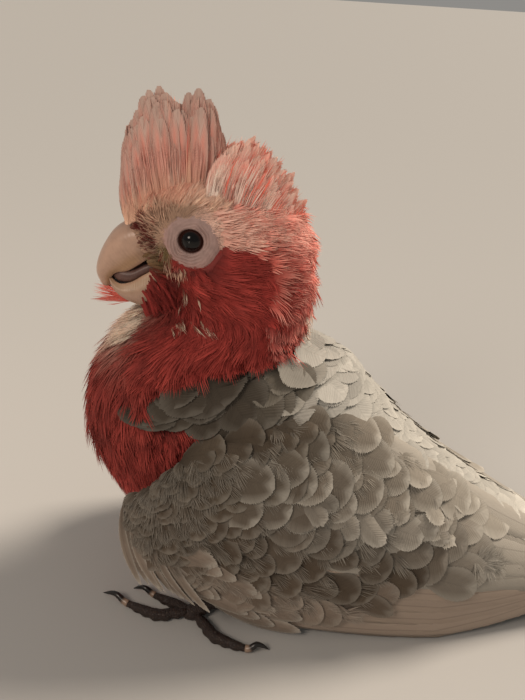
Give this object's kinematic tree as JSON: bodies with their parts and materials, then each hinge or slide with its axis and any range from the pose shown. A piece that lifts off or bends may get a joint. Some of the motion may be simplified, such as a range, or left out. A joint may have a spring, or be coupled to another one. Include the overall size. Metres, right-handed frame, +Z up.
{
  "type": "galah",
  "caption": "Young galah cockatoo sitting on its feet and tail, head up, rose crest raised, horn bill open, red neck and breast, grey folded wings and a flat grey tail.",
  "frame": {"origin": "centre of the bird's bounding box, at floor level", "axes": "-X the way the bird faces, +X towards its tail, -Y its left side, +Z up"},
  "size_m": [0.2962, 0.113, 0.2087],
  "materials": {
    "red_feathers": "soft matt plumage, deep red",
    "rose_feathers": "soft matt plumage, dusty rose",
    "grey_feathers": "soft matt plumage, warm grey",
    "dark_feathers": "smooth flight feathers, dark grey",
    "pale_feathers": "soft matt plumage, pale grey",
    "bill_horn": "satin horn, pale pinkish beige",
    "eye_skin": "bare wrinkled skin, mauve pink",
    "tongue_skin": "moist skin, dark mauve",
    "foot_skin": "scaly skin, dark brown",
    "claw_horn": "glossy dark horn",
    "eyeball": "wet gloss, very dark brown"
  },
  "bodies": {
    "root": {"bill_lower": "bill_horn", "bill_upper": "bill_horn", "claw_left_1": "claw_horn", "claw_left_2": "claw_horn", "claw_left_3": "claw_horn", "claw_left_4": "claw_horn", "claw_right_1": "claw_horn", "claw_right_2": "claw_horn", "claw_right_3": "claw_horn", "claw_right_4": "claw_horn", "crest_back": "rose_feathers", "crest_front": "rose_feathers", "eye_left": "eyeball", "eye_right": "eyeball", "eye_ring_left": "eye_skin", "eye_ring_right": "eye_skin", "foot_left": "foot_skin", "foot_right": "foot_skin", "head": "red_feathers", "neck": "red_feathers", "rump": "pale_feathers", "tail": "dark_feathers", "thigh_left": "pale_feathers", "thigh_right": "pale_feathers", "tongue": "tongue_skin", "trunk": "grey_feathers", "wing_coverts_left": "grey_feathers", "wing_coverts_right": "grey_feathers", "wing_primaries_left": "dark_feathers", "wing_primaries_right": "dark_feathers", "wing_secondaries_left": "grey_feathers", "wing_secondaries_right": "grey_feathers"}
  },
  "joints": []
}
